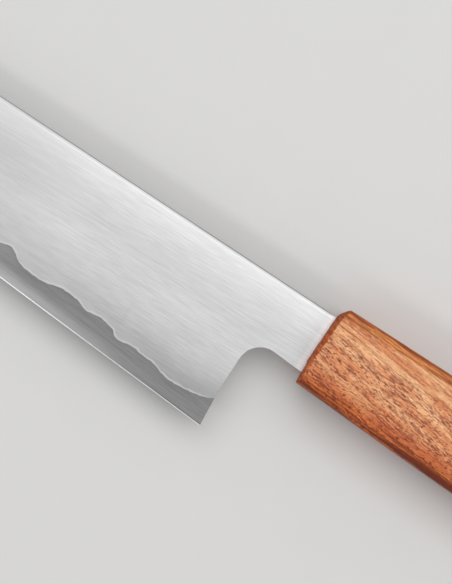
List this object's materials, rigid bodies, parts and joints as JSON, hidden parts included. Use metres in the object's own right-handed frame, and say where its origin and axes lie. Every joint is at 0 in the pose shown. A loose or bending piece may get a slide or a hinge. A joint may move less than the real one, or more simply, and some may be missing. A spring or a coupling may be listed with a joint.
{
  "type": "kiritsuke knife",
  "caption": "Kitchen knife with an angled point: a three-layer blade with a wandering weld line, set in an eight-sided open-grained wooden handle.",
  "frame": {"origin": "centre of the knife's footprint, on the surface that the handle's right broad face lies on", "axes": "+X runs from the point to the butt along the handle's centreline, +Y points to the spine, and +Z points out of the left face of the blade, which lies upwards"},
  "size_m": [0.3998, 0.0532, 0.02],
  "materials": {
    "core_steel": "darker satin polish with a bright edge bevel",
    "cladding_steel": "fine lengthwise satin",
    "handle_wood": "oiled, open-grained",
    "dowel_wood": "pale, plain",
    "adhesive": "dark cured resin"
  },
  "bodies": {
    "root": {"core_steel": "core_steel", "left_cladding": "cladding_steel", "right_cladding": "cladding_steel", "handle": "handle_wood", "slotted_dowel": "dowel_wood", "tang_adhesive": "adhesive"}
  },
  "joints": []
}
